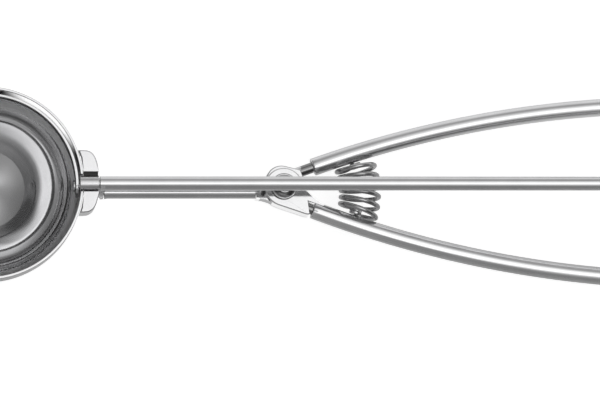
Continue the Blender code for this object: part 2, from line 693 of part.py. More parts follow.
def gear_sector(mat):
    corners = sector_profile()
    rim = 0.3 * MM
    corners = [(corners[0][0] - rim, SECTOR_TOP)] + corners + [(corners[-1][0] + rim, SECTOR_TOP)]
    low = SECTOR_TOP - SECTOR_PLATE
    points = []
    for along, height in corners:
        angle = along / SECTOR_RADIUS
        for radius in (SECTOR_RADIUS - GEAR_FACE / 2, SECTOR_RADIUS + GEAR_FACE / 2):
            for z in (low, height):
                points.append((-radius * cos(angle), radius * sin(angle), z))
    faces = [[0, 1, 3, 2]]
    for i in range(len(corners) - 1):
        a = 4 * i
        b = a + 4
        faces += [[a, b, b + 1, a + 1], [a + 2, a + 3, b + 3, b + 2]]
        faces += [[a, a + 2, b + 2, b], [a + 1, b + 1, b + 3, a + 3]]
    last = 4 * (len(corners) - 1)
    faces.append([last, last + 2, last + 3, last + 1])
    piece = add_object("gear_sector", mesh_of("gear_sector", points, faces), mat)
    seat = RACK_START_X - SEAT_GAP
    lug = seat - RACK_LUG
    inner = SECTOR_RADIUS - GEAR_FACE / 2
    first = corners[0][0] / SECTOR_RADIUS
    final = corners[-1][0] / SECTOR_RADIUS
    back = arc((0, 0), inner + GEAR_FACE / 2, pi - final, pi - first, 8)
    arm = back + [(lug, RACK_Y - RACK_RADIUS), (seat, RACK_Y - RACK_RADIUS)]
    arm += [(seat, RACK_Y + RACK_RADIUS), (lug, RACK_Y + RACK_RADIUS)]
    middle = SECTOR_TOP - SECTOR_PLATE / 2
    join(piece, prism("arm", arm, middle - SECTOR_ARM / 2, middle + SECTOR_ARM / 2))
    lug_low = (lug, RACK_Y - RACK_RADIUS, HANDLE_Z - RACK_RADIUS)
    lug_high = (seat, RACK_Y + RACK_RADIUS, middle)
    join(piece, block("lug", lug_low, lug_high))
    tang = rod_shape("tang", RACK_TANG_RADIUS, lug + RACK_LUG / 2, seat + RACK_TANG, TUBE_FACETS)
    join(piece, tang, on_rack_axis(0))
    return piece


def involute(radius, base):
    """The angle by which an involute has turned at this radius."""
    pressure = acos(min(1, base / radius))
    return sin(pressure) / cos(pressure) - pressure


def pinion(mat):
    base = PITCH_RADIUS * cos(PRESSURE_ANGLE)
    half = (GEAR_PITCH - TOOTH_BACKLASH) / 4 / PITCH_RADIUS + involute(PITCH_RADIUS, base)
    tip = PITCH_RADIUS + TOOTH_ADDENDUM
    root = PITCH_RADIUS - TOOTH_DEDENDUM
    outline = []
    for tooth in range(PINION_TEETH):
        # The first tooth points down, into the sector's first gap.
        middle = -pi / 2 + 2 * pi * tooth / PINION_TEETH
        flank = [(root, half)]
        for radius in np.linspace(base, tip, 4):
            flank.append((radius, half - involute(radius, base)))
        for radius, spread in flank:
            outline.append((radius * cos(middle - spread), radius * sin(middle - spread)))
        for radius, spread in reversed(flank):
            outline.append((radius * cos(middle + spread), radius * sin(middle + spread)))
    # The outline's own axes become Y and Z, and its thickness runs along X.
    stand = Matrix(((0, 0, 1, -SECTOR_RADIUS), (1, 0, 0, 0), (0, 1, 0, SCRAPER_Z), (0, 0, 0, 1)))
    piece = add_object("pinion", prism("pinion", outline, -GEAR_FACE / 2, GEAR_FACE / 2), mat, stand)
    bore = rod_shape("bore", SHAFT_RADIUS + SEAT_GAP, -GEAR_FACE, GEAR_FACE)
    cut(piece, bore, on_scraper_axis(-SECTOR_RADIUS))
    return piece


# Scraper


def drive_shaft(mat):
    head = BOWL_X + BLADE_RADIUS - BLADE_WALL - SEAT_GAP
    end = HOUSING_X + SEAT_GAP
    profile = [
        (0, head - SHAFT_HEAD),
        (SHAFT_HEAD_RADIUS - SHAFT_HEAD / 2, head - SHAFT_HEAD),
        (SHAFT_HEAD_RADIUS, head - SHAFT_HEAD / 2),
        (SHAFT_HEAD_RADIUS, head),
        (SHAFT_RADIUS, head),
        (SHAFT_RADIUS, end),
        (0, end),
    ]
    return add_object("drive_shaft", turned("drive_shaft", profile, PIN_FACETS), mat, on_scraper_axis(0))


def scraper_blade(mat):
    """A strip along a great circle of the bowl, from pole to pole round the +Y side, with round ends."""
    half = BLADE_WIDTH / 2
    overhang = half / BLADE_RADIUS
    tip_steps = [overhang * sin(a) for a in np.linspace(pi / 2 * 0.94, 0, 5)]
    angles = [-t for t in tip_steps]
    angles += list(np.linspace(0, pi, 25))[1:-1]
    angles += [pi + t for t in reversed(tip_steps)]
    points = []
    for angle in angles:
        past = max(-angle, angle - pi, 0)
        width = half * sqrt(1 - (past / overhang) ** 2)
        for across in (-width, 0, width):
            for radius in (BLADE_RADIUS, BLADE_RADIUS - BLADE_WALL):
                reach = sqrt(radius**2 - across**2)
                points.append((BOWL_X - reach * cos(angle), reach * sin(angle), SCRAPER_Z + across))
    faces = []
    # Each station holds outer and inner points at the low edge, the middle and the high edge.
    ring = (0, 2, 4, 5, 3, 1)
    for station in range(len(angles) - 1):
        a = 6 * station
        for i, j in zip(ring, ring[1:] + ring[:1]):
            faces.append([a + i, a + j, a + 6 + j, a + 6 + i])
    last = 6 * (len(angles) - 1)
    for start in (0, last):
        faces += [[start, start + 2, start + 3, start + 1], [start + 2, start + 4, start + 5, start + 3]]
    piece = add_object("scraper_blade", mesh_of("scraper_blade", points, faces), mat)
    over = BLADE_RADIUS + BLADE_WALL
    under = BLADE_RADIUS - 3 * BLADE_WALL
    far_hole = rod_shape("pin_hole", SHAFT_RADIUS + RUNNING_GAP, -over, -under)
    cut(piece, far_hole, on_scraper_axis(BOWL_X))
    near_hole = rod_shape("shaft_hole", SHAFT_RADIUS + SEAT_GAP, under, over)
    cut(piece, near_hole, on_scraper_axis(BOWL_X))
    return piece


# Spring: one wire, wound round an arc about the pivot, with straight ends that meet the handles


def spring_lead(side, corner, onward):
    """A straight end square to the tube, then a rounded corner on to the coil."""
    along = SPRING_SEAT
    for _ in range(4):
        x, y = handle_point(side, along)
        slope = handle_slope(side, along)
        along += (corner.x - x) * cos(slope) + (corner.y - y) * sin(slope)
    axis = Vector((*handle_point(side, along), HANDLE_Z))
    outward = (corner - axis).normalized()
    end = axis + outward * (TUBE_RADIUS + SEAT_GAP)
    straight = end + outward * 2 * SPRING_WIRE
    points = [end, straight]
    for t in (0.25, 0.5, 0.75):
        points.append(straight * (1 - t) ** 2 + corner * 2 * t * (1 - t) + onward * t**2)
    return points


def spring_route():
    """Points along the wire, in order. The coil is bent round the pivot."""
    bend = sum(hypot(*handle_point(side, SPRING_SEAT)) for side in (1, -1)) / 2
    ends = {}
    for side in (1, -1):
        # An end turn lies beside its tube, clear of it on both sides of the coil.
        beside = []
        for along in (SPRING_SEAT - SPRING_COIL, SPRING_SEAT + SPRING_COIL):
            x, y = handle_point(side, along, TUBE_RADIUS + SEAT_GAP + SPRING_WIRE)
            beside.append(atan2(y, x))
        ends[side] = min(beside, key=abs)
    curls = 9
    coil = []
    for i in range(curls * SPRING_TURNS + 1):
        share = (i / curls - SPRING_CLOSED) / (SPRING_TURNS - 2 * SPRING_CLOSED)
        share = min(1, max(0, share))
        # The wire starts and stops on the coil's underside.
        turn = pi / 2 + 2 * pi * i / curls
        angle = ends[1] + (ends[-1] - ends[1]) * share
        reach = bend + SPRING_LEAN * (2 * share - 1) + SPRING_COIL * cos(turn)
        coil.append(Vector((reach * cos(angle), reach * sin(angle), HANDLE_Z - SPRING_COIL * sin(turn))))
    lead_in = spring_lead(1, coil[0], coil[1])
    lead_out = spring_lead(-1, coil[-1], coil[-2])
    return lead_in + coil[1:-1] + lead_out[::-1]


def least_gap(route):
    """The smallest clear distance between stretches of the wire more than half a turn apart."""
    points = np.array([tuple(p) for p in route])
    shares = np.linspace(0, 1, 6)[:-1, None]
    fine = np.concatenate([a + (b - a) * shares for a, b in zip(points, points[1:])])
    lengths = np.r_[0, np.cumsum(np.linalg.norm(np.diff(fine, axis=0), axis=1))]
    apart = np.linalg.norm(fine[:, None] - fine[None], axis=2)
    near = np.abs(lengths[:, None] - lengths[None]) < pi * SPRING_COIL
    apart[near] = np.inf
    return apart.min() - 2 * SPRING_WIRE


def spring(mat):
    route = spring_route()
    curve = bpy.data.curves.new("spring", "CURVE")
    curve.dimensions = "3D"
    curve.bevel_depth = SPRING_WIRE
    curve.bevel_resolution = 1
    curve.use_fill_caps = True
    line = curve.splines.new("POLY")
    line.points.add(len(route) - 1)
    for point, place in zip(line.points, route):
        point.co = (*place, 1)
    line.use_smooth = True
    curve.materials.append(mat)
    piece = bpy.data.objects.new("spring", curve)
    bpy.context.scene.collection.objects.link(piece)
    print(f"spring: least gap between turns {least_gap(route) / MM:.2f} mm")
    return piece


clear_scene()
polished = steel("polished_steel", (0.82, 0.82, 0.83), 0.08)
satin = steel("satin_steel", (0.74, 0.74, 0.75), 0.28)
wire = steel("spring_steel", (0.62, 0.62, 0.63), 0.22)

bowl(polished)
shaft_bushing(satin)
scraper_pin(polished)
pin_washer(satin)
gear_housing(polished)
rod_ferrule(satin)
centre_rod(polished)
rod_end_cap(polished)
rod_post(satin)
pivot_rivet(polished)
pivot_spacer(satin)
spring(wire)

lower_axis = axis_empty("lower_handle_axis", (0, 0, HANDLE_Z))
carry(
    lower_axis,
    [
        lower_bracket(polished),
        handle_tube("lower_handle", -1, polished),
        end_cap("lower_end_cap", -1, polished),
        spring_peg("lower_spring_peg", -1, satin),
        rack_rod(polished),
        gear_sector(satin),
    ],
)
upper_axis = axis_empty("upper_handle_axis", (0, 0, HANDLE_Z))
carry(
    upper_axis,
    [
        upper_bracket(polished),
        handle_tube("upper_handle", 1, polished),
        end_cap("upper_end_cap", 1, polished),
        spring_peg("upper_spring_peg", 1, satin),
    ],
)
scraper_axis = axis_empty("scraper_axis", (BOWL_X, 0, SCRAPER_Z))
carry(scraper_axis, [scraper_blade(polished), drive_shaft(polished), pinion(satin)])
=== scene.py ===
from math import atan2, cos, pi, radians, sin

import bmesh
import bpy
from mathutils import Matrix, Vector


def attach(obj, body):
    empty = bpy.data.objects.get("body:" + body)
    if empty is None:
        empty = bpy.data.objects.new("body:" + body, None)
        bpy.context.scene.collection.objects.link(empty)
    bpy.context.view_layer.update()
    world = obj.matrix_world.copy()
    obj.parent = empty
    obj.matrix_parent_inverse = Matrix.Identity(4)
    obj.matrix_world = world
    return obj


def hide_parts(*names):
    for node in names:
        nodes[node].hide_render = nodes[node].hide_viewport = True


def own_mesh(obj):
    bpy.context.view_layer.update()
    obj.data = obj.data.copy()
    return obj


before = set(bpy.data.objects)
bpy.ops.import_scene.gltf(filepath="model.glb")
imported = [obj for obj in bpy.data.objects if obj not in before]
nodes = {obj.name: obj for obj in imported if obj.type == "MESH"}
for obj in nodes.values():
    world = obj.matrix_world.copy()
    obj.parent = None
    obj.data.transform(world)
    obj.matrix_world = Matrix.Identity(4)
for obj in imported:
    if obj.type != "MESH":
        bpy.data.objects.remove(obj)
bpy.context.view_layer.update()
scene = bpy.context.scene
MM = 0.001


# Camera. It looks down into the bowl from almost straight above, through a long lens. The scoop
# lies with its bowl raised, so the view leans a few degrees towards the bowl and the lower handle.
view_from = Vector((-0.105, -0.122, 1)).normalized()
view_centre = Vector((4.76, -5.54, 10.5)) * MM
view_distance = 1200 * MM
view_width = 600 * 0.3075 * MM

scene.view_settings.view_transform = "Standard"
eye = bpy.data.cameras.new("camera")
eye.sensor_width = 36
eye.lens = eye.sensor_width * view_distance / view_width
eye.clip_start = 0.05
eye.clip_end = 20
camera = bpy.data.objects.new("camera", eye)
right = (Vector((1, 0, 0)) - view_from * view_from.x).normalized()
up = view_from.cross(right)
turn = Matrix((right, up, view_from)).transposed()
camera.matrix_world = Matrix.Translation(view_centre + view_from * view_distance) @ turn.to_4x4()
scene.collection.objects.link(camera)
scene.camera = camera


# Studio. The scoop is lit by a bright tent with a dark side towards the lower handle, which is what
# the polished steel shows. The camera itself sees only white.
class Socket:
    """A shader socket that maths can be written on. Each sum adds its Math node."""

    def __init__(self, tree, socket):
        self.tree = tree
        self.socket = socket

    def maths(self, operation, *others):
        """The operation on this value and the others."""
        return nodes_in(self.tree).add("ShaderNodeMath", {"operation": operation}, self, *others)

    def __add__(self, other):
        return self.maths("ADD", other)

    def __sub__(self, other):
        return self.maths("SUBTRACT", other)

    def __mul__(self, other):
        return self.maths("MULTIPLY", other)

    def __truediv__(self, other):
        return self.maths("DIVIDE", other)

    def __rsub__(self, other):
        return nodes_in(self.tree).add("ShaderNodeMath", {"operation": "SUBTRACT"}, other, self)

    __radd__ = __add__
    __rmul__ = __mul__


class nodes_in:
    """Adds nodes to one material or world."""

    def __init__(self, tree):
        self.tree = tree

    def add(self, kind, settings=None, *values, out=0, **named):
        """A node with its settings, then its sockets' values or links, in order or by name."""
        node = self.tree.nodes.new(kind)
        for key, value in (settings or {}).items():
            if key == "stops":
                ramp = node.color_ramp.elements
                while len(ramp) < len(value):
                    ramp.new(0.5)
                for stop, (place, grey) in zip(ramp, value):
                    stop.position = place
                    stop.color = (grey, grey, grey, 1)
            else:
                setattr(node, key, value)
        sockets = dict(enumerate(values))
        sockets.update((key.replace("_", " "), value) for key, value in named.items())
        for key, value in sockets.items():
            if isinstance(value, Socket):
                self.tree.links.new(value.socket, node.inputs[key])
            elif value is not None:
                node.inputs[key].default_value = value
        return Socket(self.tree, node.outputs[out])


# The share of light that polished steel gives back
polished = 0.65


def grey(value):
    """The light that makes polished steel show a display value, where 255 is white."""
    share = value / 255
    return (share / 12.92 if share < 0.04045 else ((share + 0.055) / 1.055) ** 2.4) / polished


def rise(value, start, full):
    """0 up to the start, 1 from where it is full, and a smooth rise between."""
    smooth = {"interpolation_type": "SMOOTHSTEP"}
    return nodes_in(value.tree).add("ShaderNodeMapRange", smooth, value, start, full)


tent = bpy.data.worlds.new("tent")
scene.world = tent
tent.use_nodes = True
tree = tent.node_tree
tree.nodes.clear()
shade = nodes_in(tree)
ray = shade.add("ShaderNodeTexCoord", out="Generated")
across = shade.add("ShaderNodeVectorMath", {"operation": "DOT_PRODUCT"}, ray, right, out="Value")
aside = shade.add("ShaderNodeVectorMath", {"operation": "DOT_PRODUCT"}, ray, up, out="Value")
above = shade.add("ShaderNodeVectorMath", {"operation": "DOT_PRODUCT"}, ray, view_from, out="Value")
out_by = above.maths("ARCCOSINE") / pi
# How far the ray leans out, kept above 0 so that it can divide
spread = (1.0001 - above * above).maths("SQRT")
# What the steel shows towards each side, by the angle in degrees from straight above. The ramps'
# greys are kept under 1 by the brightest.
brightest = 2.4
views = {
    "bowl end": (
        -1, across,
        [(0, 228), (5, 172), (16, 162), (24, 148), (35, 124), (46, 108), (90, 112), (180, 180)],
    ),
    "handle end": (
        1, across,
        [(0, 228), (10, 290), (34, 290), (46, 150), (58, 100), (80, 120), (92, 212), (180, 212)],
    ),
    "lower side": (
        -1, aside,
        [(0, 228), (8, 185), (16, 142), (25, 122), (42, 118), (60, 111), (80, 119), (104, 157), (137, 214)],
    ),
    "upper side": (
        1, aside,
        [(0, 228), (8, 240), (25, 214), (42, 178), (60, 138), (72, 160), (86, 204), (180, 212)],
    ),
}
room = 0
for sign, part, stops in views.values():
    ramp = [(angle / 180, grey(value) / brightest) for angle, value in stops]
    seen_there = shade.add("ShaderNodeValToRGB", {"stops": ramp}, out_by)
    share = (part * sign / spread).maths("MAXIMUM", 0.0)
    room = room + share * share * seen_there * brightest
# The tent is lighter at the bowl end's lower corner, and darker at its upper one
bowlwards = (0 - across).maths("MAXIMUM", 0.0)
room = room * (1 - bowlwards * aside / (spread * spread))
# A dim corner past the lower handle's end, and a lamp straight beyond the lower handle
downwards = 0 - aside
room = room * (1 - rise(across, 0.24, 0.5) * rise(downwards, 0.1, 0.35) * 0.75)
lamp = rise(across, -0.2, -0.05) * (1 - rise(across, 0.12, 0.19)) * rise(above, 0.0, 0.2)
room = room + lamp * rise(downwards, -0.02, 0.05) * (1 - rise(downwards, 0.36, 0.43)) * 0.9
# The dark round of the camera's lens, straight above
room = room * (1 - rise(above, cos(radians(6.5)), cos(radians(5))) * 0.96)
seen = shade.add("ShaderNodeLightPath", out="Is Camera Ray")
glow = seen + (1 - seen) * room
back = tree.nodes.new("ShaderNodeBackground")
back.inputs["Color"].default_value = (1, 1, 1, 1)
tree.links.new(glow.socket, back.inputs["Strength"])
end = tree.nodes.new("ShaderNodeOutputWorld")
tree.links.new(back.outputs[0], end.inputs["Surface"])


# Floor: a wide white sheet that the bowl's bottom and the handles' tips rest on. Its shadow is faint,
# because the tent lights it from all round.
bowl_centre = Vector((-91.6, 0, 10.6)) * MM
floor_normal = Vector((-0.0985, 0, 0.9951))
floor_point = Vector((bowl_centre.x, 0, -19 * MM))
bpy.ops.object.select_all(action="DESELECT")
bpy.ops.mesh.primitive_circle_add(vertices=96, radius=1500 * MM, fill_type="NGON")
floor = bpy.context.object
floor.name = "floor"
tilt = floor_normal.to_track_quat("Z", "Y").to_matrix().to_4x4()
floor.matrix_world = Matrix.Translation(floor_point) @ tilt
paper = bpy.data.materials.new("paper")
paper.use_nodes = True
tree = paper.node_tree
tree.nodes.clear()
shade = nodes_in(tree)
# The camera sees the sheet white, and the steel sees it light at one end and dark at the other
camera_lift = 0.81
steel_lift = 0.7
fade = 80 * MM
seen = shade.add("ShaderNodeLightPath", out="Is Camera Ray")
white = tree.nodes.new("ShaderNodeBsdfDiffuse")
white.inputs["Color"].default_value = (0.5, 0.5, 0.5, 1)
lift = tree.nodes.new("ShaderNodeEmission")
lift.inputs["Color"].default_value = (1, 1, 1, 1)
gloss = shade.add("ShaderNodeLightPath", out="Is Glossy Ray")
point = shade.add("ShaderNodeTexCoord", out="Object")
across = shade.add("ShaderNodeSeparateXYZ", None, point, out=0)
light = (1 - rise(across, -fade, fade)) * steel_lift
lifted = tree.nodes.new("ShaderNodeMixShader")
tree.links.new((seen * camera_lift + gloss * light).socket, lifted.inputs["Fac"])
tree.links.new(lift.outputs[0], lifted.inputs[2])
both = tree.nodes.new("ShaderNodeAddShader")
tree.links.new(white.outputs[0], both.inputs[0])
tree.links.new(lifted.outputs[0], both.inputs[1])
end = tree.nodes.new("ShaderNodeOutputMaterial")
tree.links.new(both.outputs[0], end.inputs["Surface"])
floor.data.materials.append(paper)


# Bowl: a hemisphere spun from stainless sheet, with a short straight wall up to a trimmed rim. It is
# polished inside and out, and fine rings are left from the spinning.
bowl_radius = 29.5 * MM
bowl_wall = 0.8 * MM
rim_height = 18.8 * MM
rod_height = 17 * MM
metal_share = 0.9


def steel(name, tint, roughness, stretch=None, lines=0.02, waves=0.02, rings=None, turn=0.0):
    """Bright steel. Its grain is stretched by (x, y, z), or runs in rings round an axis."""
    metal = bpy.data.materials.new(name)
    metal.use_nodes = True
    tree = metal.node_tree
    shader = tree.nodes["Principled BSDF"]
    shader.inputs["Metallic"].default_value = metal_share
    shade = nodes_in(tree)
    point = shade.add("ShaderNodeTexCoord", out="Object")
    if rings:
        place, axis = rings
        off = shade.add("ShaderNodeVectorMath", {"operation": "SUBTRACT"}, point, place)
        along = shade.add("ShaderNodeVectorMath", {"operation": "DOT_PRODUCT"}, off, axis, out="Value")
        onto = shade.add("ShaderNodeVectorMath", {"operation": "PROJECT"}, off, axis)
        aside = shade.add("ShaderNodeVectorMath", {"operation": "SUBTRACT"}, off, onto)
        reach = shade.add("ShaderNodeVectorMath", {"operation": "LENGTH"}, aside, out="Value")
        fineness = 2600
        grain = shade.add("ShaderNodeCombineXYZ", None, reach * fineness, along * fineness, 0.0)
    else:
        level = shade.add("ShaderNodeMapping", {"vector_type": "POINT"}, point, (0, 0, 0), (0, 0, turn))
        grain = shade.add("ShaderNodeVectorMath", {"operation": "MULTIPLY"}, level, stretch)
    fine = shade.add("ShaderNodeTexNoise", None, grain, Scale=1.0, Detail=3.0)
    patch = shade.add("ShaderNodeTexNoise", None, point, Scale=110.0, Detail=4.0)
    sheen = shade.add("ShaderNodeMapRange", None, patch, 0.35, 0.7, 0.93, 1.0)
    colour = shade.add("ShaderNodeCombineColor", None, sheen * tint, sheen * tint, sheen * tint * 1.01)
    tree.links.new(colour.socket, shader.inputs["Base Color"])
    rough = roughness + (fine - 0.5) * (roughness * 0.6) + (patch - 0.5) * (roughness * 0.5)
    tree.links.new(rough.socket, shader.inputs["Roughness"])
    height = fine * lines + patch * waves
    bump = shade.add("ShaderNodeBump", None, 1.0, 0.0001, Height=height)
    tree.links.new(bump.socket, shader.inputs["Normal"])
    return metal


def painted_light_and_finish(metal, where, tint, metallic=None, roughness=None, glow=None):
    """Paints light and shade into the part of a metal that where(x, y, z) marks, in mm, as another tint, and
    can change its finish there and make it glow.
    """
    tree = metal.node_tree
    shader = tree.nodes["Principled BSDF"]
    shade = nodes_in(tree)
    point = shade.add("ShaderNodeTexCoord", out="Object")
    share = where(*[shade.add("ShaderNodeSeparateXYZ", None, point, out=i) / MM for i in range(3)])
    colour = Socket(tree, shader.inputs["Base Color"].links[0].from_socket)
    # A colour mix leaves the five sockets after its factor alone
    unused = [None] * 5
    # The painted light or shade's flat tint
    painted_colour = (tint, tint, tint, 1)
    mixed = shade.add("ShaderNodeMix", {"data_type": "RGBA"}, share, *unused, colour, painted_colour, out=2)
    tree.links.new(mixed.socket, shader.inputs["Base Color"])
    if metallic:
        metal_part = metal_share + share * (metallic - metal_share)
        tree.links.new(metal_part.socket, shader.inputs["Metallic"])
    if roughness:
        rough = Socket(tree, shader.inputs["Roughness"].links[0].from_socket)
        tree.links.new((rough + share * (roughness - rough)).socket, shader.inputs["Roughness"])
    if glow:
        light = shade.add("ShaderNodeCombineColor", None, share * glow, share * glow, share * glow)
        tree.links.new(light.socket, shader.inputs["Emission Color"])
        shader.inputs["Emission Strength"].default_value = 1


def between(value, low, high):
    """1 where the value lies between the two, else 0."""
    return value.maths("GREATER_THAN", low) * value.maths("LESS_THAN", high)


def pick(test):
    """Selects the points of the piece being edited that pass the test."""
    bpy.ops.mesh.select_mode(type="VERT")
    bpy.ops.mesh.select_all(action="DESELECT")
    shape = bmesh.from_edit_mesh(bpy.context.edit_object.data)
    for vert in shape.verts:
        vert.select = bool(test(vert.co))
    shape.select_flush(True)
    bmesh.update_edit_mesh(bpy.context.edit_object.data)


def choose(piece):
    """Makes the piece the active one, and the only one selected."""
    bpy.ops.object.select_all(action="DESELECT")
    piece.select_set(True)
    bpy.context.view_layer.objects.active = piece


def modify(piece, name, kind, **settings):
    """Adds a modifier to the piece and applies it."""
    choose(piece)
    modifier = piece.modifiers.new(name, kind)
    for key, value in settings.items():
        setattr(modifier, key, value)
    bpy.ops.object.modifier_apply(modifier=name)


def rounded(piece, size, segments=3, angle=30):
    """Breaks the piece's sharp edges."""
    settings = {"width": size, "segments": segments, "limit_method": "ANGLE", "angle_limit": radians(angle)}
    modify(piece, "edges", "BEVEL", **settings)


def cut_by(piece, *cutters):
    """Cuts the piece by each cutter, which is then thrown away."""
    for cutter in cutters:
        modify(piece, "cut", "BOOLEAN", operation="DIFFERENCE", solver="EXACT", object=cutter)
        bpy.data.objects.remove(cutter)


def drill(radius, start, end, sides=48):
    """A plain round cutter from one point to another."""
    start = Vector(start)
    along = Vector(end) - start
    turn = along.to_track_quat("Z", "Y").to_euler()
    bpy.ops.object.select_all(action="DESELECT")
    bpy.ops.mesh.primitive_cylinder_add(
        vertices=sides, radius=radius, depth=along.length, location=start + along / 2, rotation=turn
    )
    return bpy.context.object


def block(low, high):
    """A plain square cutter between two corners."""
    low = Vector(low)
    size = Vector(high) - low
    bpy.ops.object.select_all(action="DESELECT")
    bpy.ops.mesh.primitive_cube_add(size=1, location=low + size / 2)
    piece = bpy.context.object
    piece.scale = size
    bpy.ops.object.transform_apply(location=False, rotation=False, scale=True)
    return piece


def fitted(piece, metal, body, node):
    """Sets the piece down where it is, gives it its metal, and puts it on its body for its CAD node."""
    choose(piece)
    bpy.ops.object.transform_apply(location=True, rotation=True, scale=True)
    bpy.ops.object.shade_smooth_by_angle(angle=radians(32))
    modify(piece, "flats", "WEIGHTED_NORMAL", keep_sharp=True)
    piece.data.materials.clear()
    piece.data.materials.append(metal)
    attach(piece, body)
    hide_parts(node)


bpy.ops.object.select_all(action="DESELECT")
bpy.ops.mesh.primitive_uv_sphere_add(segments=144, ring_count=96, radius=bowl_radius, location=bowl_centre)
bowl = bpy.context.object
bowl.name = "spun_bowl"
bpy.ops.object.mode_set(mode="EDIT")
pick(lambda co: co.z > 0.01 * MM)
bpy.ops.mesh.delete(type="VERT")
pick(lambda co: co.z > -0.01 * MM)
bpy.ops.mesh.extrude_region_move(TRANSFORM_OT_translate={"value": (0, 0, rim_height - bowl_centre.z)})
bpy.ops.mesh.select_all(action="SELECT")
bpy.ops.mesh.normals_make_consistent(inside=False)
bpy.ops.object.mode_set(mode="OBJECT")
modify(bowl, "wall", "SOLIDIFY", thickness=bowl_wall, offset=-1, use_even_offset=True)
rounded(bowl, 0.15 * MM, 3, 60)
near_wall = bowl_centre + Vector((24, 0, 0)) * MM
past_wall = bowl_centre + Vector((34, 0, 0)) * MM
far_wall = bowl_centre - Vector((24, 0, 0)) * MM
past_far_wall = bowl_centre - Vector((34, 0, 0)) * MM
up_to_rod = Vector((0, 0, rod_height - bowl_centre.z))
slot_half = 2.7 * MM
shaft_hole = 2.0 * MM
pin_hole = 1.2 * MM
cut_by(
    bowl,
    drill(slot_half, near_wall + up_to_rod, past_wall + up_to_rod),
    block((near_wall.x, -slot_half, rod_height), (past_wall.x, slot_half, rim_height + 2 * MM)),
    drill(shaft_hole, near_wall, past_wall),
    drill(pin_hole, far_wall, past_far_wall),
)
spun = steel("spun_steel", polished, 0.05, lines=0.003, waves=0.1, rings=(bowl_centre, (0, 0, 1)))
# In mm, as the painted light and shade are placed: the bowl's centre, the middle of its wall and the top of
# its rim
centre_x = bowl_centre.x / MM
centre_z = bowl_centre.z / MM
mid_wall = (bowl_radius - bowl_wall / 2) / MM
rim_top = rim_height / MM


def reach(x, y):
    """How far the point is from the bowl's axis, in mm."""
    off = x - centre_x
    return (off * off + y * y).maths("SQRT")


def wall_highlight(x, y, z):
    """The part of the straight wall's inside, at its upper right, where a highlight is painted and made to
    glow.
    """
    highlight_x, highlight_y = 0.65, 0.76
    towards = (x - centre_x) * highlight_x + y * highlight_y
    inside = between(reach(x, y), mid_wall - 0.8, mid_wall)
    return between(z, centre_z + 0.2, rim_top - 0.4) * inside * rise(towards, 24.5, 28.4)


def rim_edge_shade(x, y, z):
    """The rim's inner edge, where a dark line of shade is painted."""
    return between(z, rim_top - 0.35, rim_top - 0.01) * between(reach(x, y), 28.5, 28.88)


def from_centre(x, y, z, axis):
    """How far the point is from the bowl's centre along an axis, in mm."""
    return (x - centre_x) * axis.x + y * axis.y + (z - centre_z) * axis.z


def mirrored(low, high):
    """A streaky ring on the bowl's inside, between two radii in mm as the camera sees them, where a
    reflection is painted or the finish changes.
    """

    def where(x, y, z):
        shade = nodes_in(x.tree)
        sideways = from_centre(x, y, z, right)
        upwards = from_centre(x, y, z, up)
        towards = from_centre(x, y, z, view_from)
        off = sideways * sideways + upwards * upwards
        inside = (off + towards * towards).maths("LESS_THAN", mid_wall**2) * z.maths("LESS_THAN", centre_z)
        off = off.maths("SQRT")
        # Its inner edge leans to the upper side, and its streaks run along it
        ring = rise(off + upwards * 0.048, low, low + 0.7) * (1 - rise(off, high - 0.6, high + 0.8))
        place = shade.add("ShaderNodeCombineXYZ", None, off * 0.9, upwards * 0.06, 0.0)
        streaks = shade.add("ShaderNodeTexNoise", None, place, Scale=1.0, Detail=2.0)
        share = shade.add("ShaderNodeMapRange", None, streaks, 0.35, 0.65, 0.55, 1.0)
        return ring * inside * rise(sideways, -8.0, 2.0) * share

    return where


# Painted reflection: a dark streaky ring, the dark studio mirrored in the bowl, painted into its colour
painted_light_and_finish(spun, mirrored(20.7, 26.0), 0.2)
painted_light_and_finish(spun, mirrored(24.9, 30.0), polished, roughness=0.45)
# Painted highlight: the wall's bright crescent is a lighter tint and a glow, not a lamp
painted_light_and_finish(spun, wall_highlight, 0.9, metallic=0.5, roughness=0.3, glow=0.7)
# Painted shade: a dark line along the rim's inner edge
painted_light_and_finish(spun, rim_edge_shade, 0.1)
fitted(bowl, spun, "frame", "bowl")


# Scraper blade: a strip of spring steel bent to the bowl's inside, with round ends that turn on the
# pin and the drive shaft. It lies against the upper side of the bowl until the handles are squeezed.
blade_radius = 28.4 * MM
blade_wall = 0.7 * MM
blade_half = 3.7 * MM
bpy.ops.object.select_all(action="DESELECT")
bpy.ops.mesh.primitive_uv_sphere_add(segments=144, ring_count=96, radius=blade_radius, location=bowl_centre)
blade = bpy.context.object
blade.name = "blade"
modify(blade, "wall", "SOLIDIFY", thickness=blade_wall, offset=-1, use_even_offset=True)
outline = drill(blade_half, bowl_centre - Vector((40, 0, 0)) * MM, bowl_centre + Vector((40, 0, 0)) * MM)
bpy.ops.object.transform_apply(location=True, rotation=True, scale=False)
bpy.ops.object.mode_set(mode="EDIT")
pick(lambda co: co.y > 0.01 * MM)
bpy.ops.transform.translate(value=(0, 40 * MM, 0))
bpy.ops.object.mode_set(mode="OBJECT")
modify(blade, "strip", "BOOLEAN", operation="INTERSECT", solver="EXACT", object=outline)
bpy.data.objects.remove(outline)
cut_by(blade, drill(1.2 * MM, near_wall, past_wall), drill(1 * MM, far_wall, past_far_wall))
rounded(blade, 0.12 * MM, 2, 40)
strip = steel("strip_steel", polished, 0.07, (200, 200, 6000), 0.02, 0.02)
fitted(blade, strip, "scraper", "scraper_blade")


